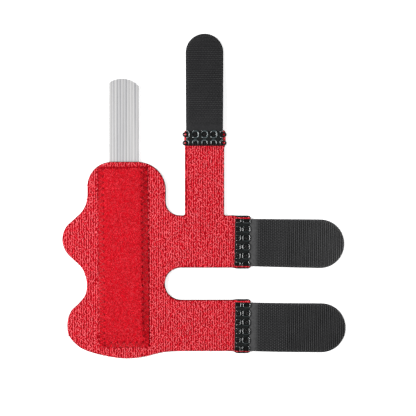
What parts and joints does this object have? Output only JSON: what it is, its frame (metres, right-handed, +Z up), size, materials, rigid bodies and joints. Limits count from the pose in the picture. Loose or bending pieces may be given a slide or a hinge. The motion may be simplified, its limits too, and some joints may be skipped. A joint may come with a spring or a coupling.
{
  "type": "finger splint",
  "caption": "Flat opened-out finger splint: red knit wrap with scalloped edge and arms, velour strip, sliding aluminium stay and black hook tabs.",
  "frame": {"origin": "on the resting face of the lining, on the velour strip's centreline at the middle of its length", "axes": "+Y along the stay towards its exposed tip, +X towards the two side arms, +Z up through the wrap to the knit face"},
  "size_m": [0.1466, 0.1679, 0.006],
  "materials": {
    "red_knit": "matte looped knit",
    "black_lining": "matte smooth jersey",
    "red_velour": "matte short pile",
    "ribbed_aluminium": "satin, ribbed lengthwise",
    "black_hook_tape": "stiff hooks with a slight sheen",
    "black_thread": "shiny sewing thread",
    "red_thread": "satin sewing thread"
  },
  "bodies": {
    "wrap": {"face_fabric": "red_knit", "lining": "black_lining", "velour_strip": "red_velour", "upper_hook_tab": "black_hook_tape", "middle_hook_tab": "black_hook_tape", "lower_hook_tab": "black_hook_tape"},
    "stay": {"stay": "ribbed_aluminium"}
  },
  "joints": [
    {"name": "stay_slide", "type": "slide", "parent": "wrap", "child": "stay", "axis": [0, 1, 0], "range_m": [0, 0.07]}
  ]
}
